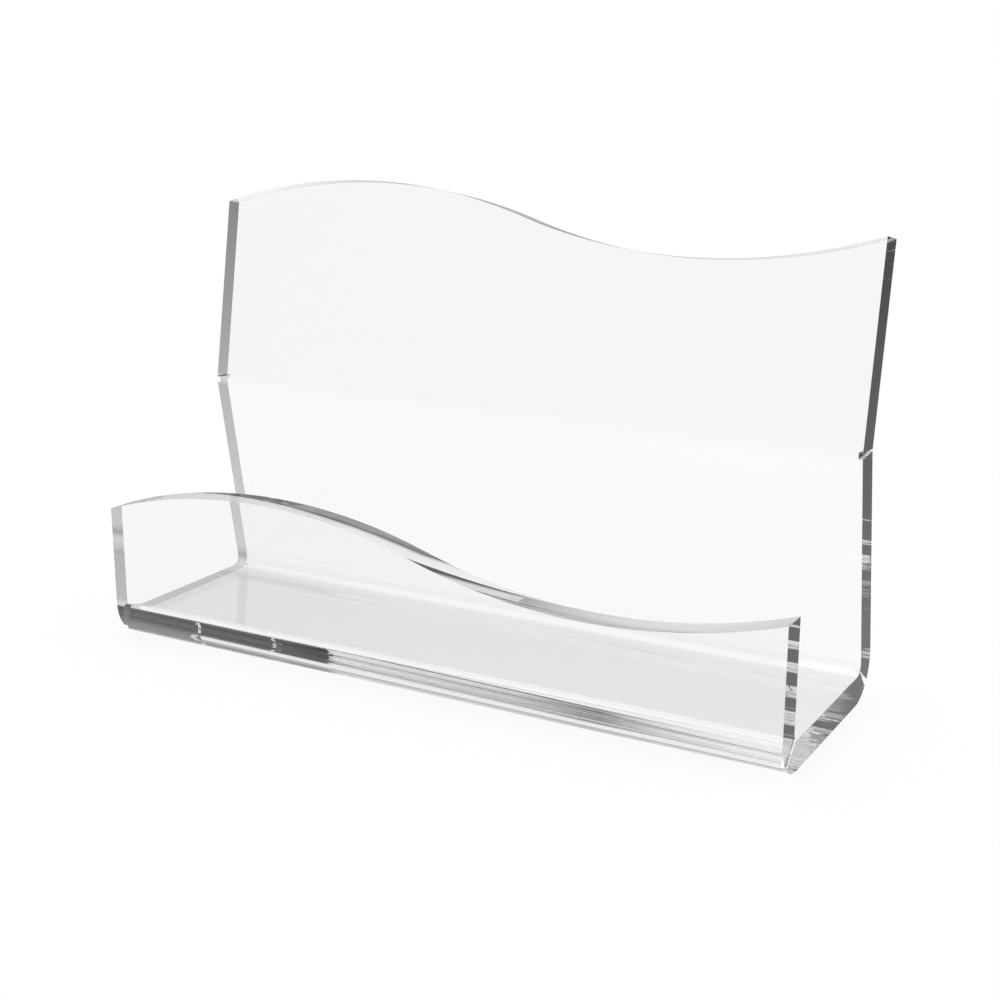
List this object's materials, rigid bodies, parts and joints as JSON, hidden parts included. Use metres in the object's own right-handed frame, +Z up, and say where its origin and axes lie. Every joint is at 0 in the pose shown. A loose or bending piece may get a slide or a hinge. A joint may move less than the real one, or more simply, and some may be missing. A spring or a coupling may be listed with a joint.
{
  "type": "business card holder stand",
  "caption": "Clear acrylic desk stand for business cards, bent from sheet into a low wave-topped lip, a flat base and a cranked, wave-topped back that the cards lean on.",
  "frame": {"origin": "on the resting plane, under the middle of the stand's overall box", "axes": "+X along the bends to the right as the cards are seen, +Y from the lip towards the back, +Z up"},
  "size_m": [0.1, 0.0338, 0.0643],
  "materials": {
    "clear_acrylic": "clear cast acrylic sheet with glossy faces and polished edges"
  },
  "bodies": {
    "root": {"bent_sheet": "clear_acrylic"}
  },
  "joints": []
}
